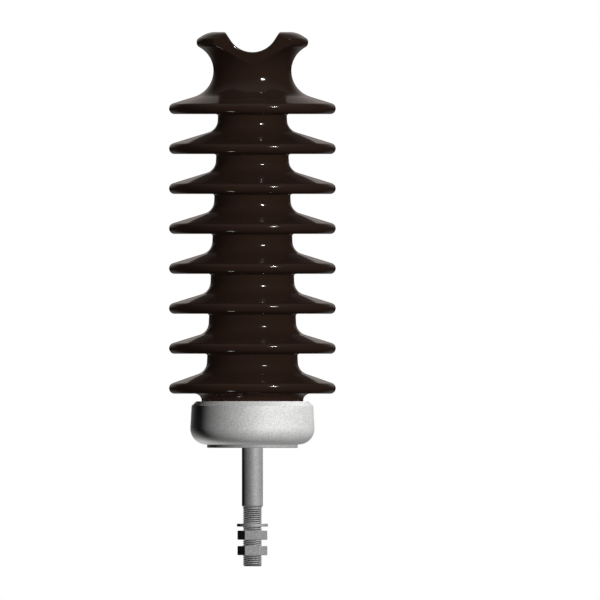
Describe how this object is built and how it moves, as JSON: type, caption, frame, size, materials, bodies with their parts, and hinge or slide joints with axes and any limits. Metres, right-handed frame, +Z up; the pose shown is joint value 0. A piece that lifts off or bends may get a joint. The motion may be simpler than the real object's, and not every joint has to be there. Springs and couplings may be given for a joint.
{
  "type": "post insulator",
  "caption": "Line post insulator of brown glazed porcelain with round sheds, a grooved head and a tie neck, cemented into a cast metal base with a threaded stud, washer and nuts.",
  "frame": {"origin": "centre of the base's seat face, on the post's axis, where the stud leaves the base", "axes": "+Z up the post's axis towards the head, the conductor groove runs along Y, and the ears stand on +X and -X"},
  "size_m": [0.1562, 0.1562, 0.5007],
  "materials": {
    "brown_glazed_porcelain": "gloss",
    "galvanised_casting": "matte",
    "portland_cement": "matte",
    "cushion_felt": "matte",
    "galvanised_steel": "satin"
  },
  "bodies": {
    "root": {"porcelain_body": "brown_glazed_porcelain", "base_cup": "galvanised_casting", "cement_ring": "portland_cement", "cushion_disc": "cushion_felt", "stud": "galvanised_steel", "flat_washer": "galvanised_steel", "clamp_nut": "galvanised_steel", "lock_nut": "galvanised_steel"}
  },
  "joints": []
}
